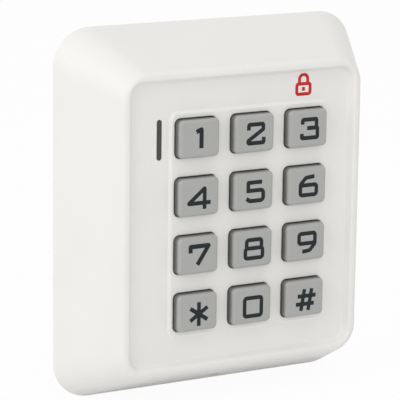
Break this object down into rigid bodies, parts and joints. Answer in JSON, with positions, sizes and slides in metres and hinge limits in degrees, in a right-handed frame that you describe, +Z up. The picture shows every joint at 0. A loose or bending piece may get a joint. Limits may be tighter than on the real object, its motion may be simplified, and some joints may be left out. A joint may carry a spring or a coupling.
{
  "type": "alarm keypad panel",
  "caption": "Wall-mounted alarm keypad: a tapered white case with a dished front, sprung grey number keys, a status window and a tamper plunger at the back.",
  "frame": {"origin": "middle of the case's footprint on the wall plane", "axes": "+X to the right of a person facing the keys, +Z up, +Y into the wall; the keys face -Y"},
  "size_m": [0.097, 0.0242, 0.107],
  "materials": {
    "case_white": "fine satin moulded plastic",
    "plate_white": "matt moulded plastic",
    "key_grey": "satin moulded plastic",
    "plunger_white": "smooth acetal",
    "lens_smoke": "smoked translucent plastic",
    "led_body": "clear resin over white body",
    "board_green": "green solder mask",
    "black_plastic": "matt black moulded plastic",
    "terminal_green": "matt green moulded plastic",
    "screw_steel": "zinc plated",
    "can_metal": "plain drawn can",
    "pin_gold": "gold flash"
  },
  "bodies": {
    "case": {"front_cover": "case_white", "rear_plate": "plate_white", "switch_bodies": "black_plastic", "main_board": "board_green", "board_screws": "screw_steel", "status_lens": "lens_smoke", "status_leds": "led_body", "cover_screw": "screw_steel", "tamper_switch": "black_plastic", "buzzer": "black_plastic", "terminal_block": "terminal_green", "terminal_screws": "screw_steel", "microcontroller": "black_plastic", "bus_transceiver": "black_plastic", "voltage_regulator": "black_plastic", "crystal": "can_metal", "capacitors": "can_metal", "pin_header": "pin_gold", "jumper": "black_plastic", "chip_parts": "black_plastic"},
    "key_1_body": {"key_1": "key_grey", "switch_plunger_1": "plunger_white"},
    "key_2_body": {"key_2": "key_grey", "switch_plunger_2": "plunger_white"},
    "key_3_body": {"key_3": "key_grey", "switch_plunger_3": "plunger_white"},
    "key_4_body": {"key_4": "key_grey", "switch_plunger_4": "plunger_white"},
    "key_5_body": {"key_5": "key_grey", "switch_plunger_5": "plunger_white"},
    "key_6_body": {"key_6": "key_grey", "switch_plunger_6": "plunger_white"},
    "key_7_body": {"key_7": "key_grey", "switch_plunger_7": "plunger_white"},
    "key_8_body": {"key_8": "key_grey", "switch_plunger_8": "plunger_white"},
    "key_9_body": {"key_9": "key_grey", "switch_plunger_9": "plunger_white"},
    "key_star_body": {"key_star": "key_grey", "switch_plunger_star": "plunger_white"},
    "key_0_body": {"key_0": "key_grey", "switch_plunger_0": "plunger_white"},
    "key_hash_body": {"key_hash": "key_grey", "switch_plunger_hash": "plunger_white"},
    "tamper_plunger_body": {"tamper_plunger": "plunger_white"}
  },
  "joints": [
    {"name": "press_1", "type": "slide", "parent": "case", "child": "key_1_body", "axis": [0, 1, 0], "range_m": [0, 0.001], "stiffness_N_per_m": 800, "springref_m": -0.0005},
    {"name": "press_2", "type": "slide", "parent": "case", "child": "key_2_body", "axis": [0, 1, 0], "range_m": [0, 0.001], "stiffness_N_per_m": 800, "springref_m": -0.0005},
    {"name": "press_3", "type": "slide", "parent": "case", "child": "key_3_body", "axis": [0, 1, 0], "range_m": [0, 0.001], "stiffness_N_per_m": 800, "springref_m": -0.0005},
    {"name": "press_4", "type": "slide", "parent": "case", "child": "key_4_body", "axis": [0, 1, 0], "range_m": [0, 0.001], "stiffness_N_per_m": 800, "springref_m": -0.0005},
    {"name": "press_5", "type": "slide", "parent": "case", "child": "key_5_body", "axis": [0, 1, 0], "range_m": [0, 0.001], "stiffness_N_per_m": 800, "springref_m": -0.0005},
    {"name": "press_6", "type": "slide", "parent": "case", "child": "key_6_body", "axis": [0, 1, 0], "range_m": [0, 0.001], "stiffness_N_per_m": 800, "springref_m": -0.0005},
    {"name": "press_7", "type": "slide", "parent": "case", "child": "key_7_body", "axis": [0, 1, 0], "range_m": [0, 0.001], "stiffness_N_per_m": 800, "springref_m": -0.0005},
    {"name": "press_8", "type": "slide", "parent": "case", "child": "key_8_body", "axis": [0, 1, 0], "range_m": [0, 0.001], "stiffness_N_per_m": 800, "springref_m": -0.0005},
    {"name": "press_9", "type": "slide", "parent": "case", "child": "key_9_body", "axis": [0, 1, 0], "range_m": [0, 0.001], "stiffness_N_per_m": 800, "springref_m": -0.0005},
    {"name": "press_star", "type": "slide", "parent": "case", "child": "key_star_body", "axis": [0, 1, 0], "range_m": [0, 0.001], "stiffness_N_per_m": 800, "springref_m": -0.0005},
    {"name": "press_0", "type": "slide", "parent": "case", "child": "key_0_body", "axis": [0, 1, 0], "range_m": [0, 0.001], "stiffness_N_per_m": 800, "springref_m": -0.0005},
    {"name": "press_hash", "type": "slide", "parent": "case", "child": "key_hash_body", "axis": [0, 1, 0], "range_m": [0, 0.001], "stiffness_N_per_m": 800, "springref_m": -0.0005},
    {"name": "tamper_release", "type": "slide", "parent": "case", "child": "tamper_plunger_body", "axis": [0, 1, 0], "range_m": [0, 0.002], "stiffness_N_per_m": 150, "springref_m": 0.003}
  ]
}
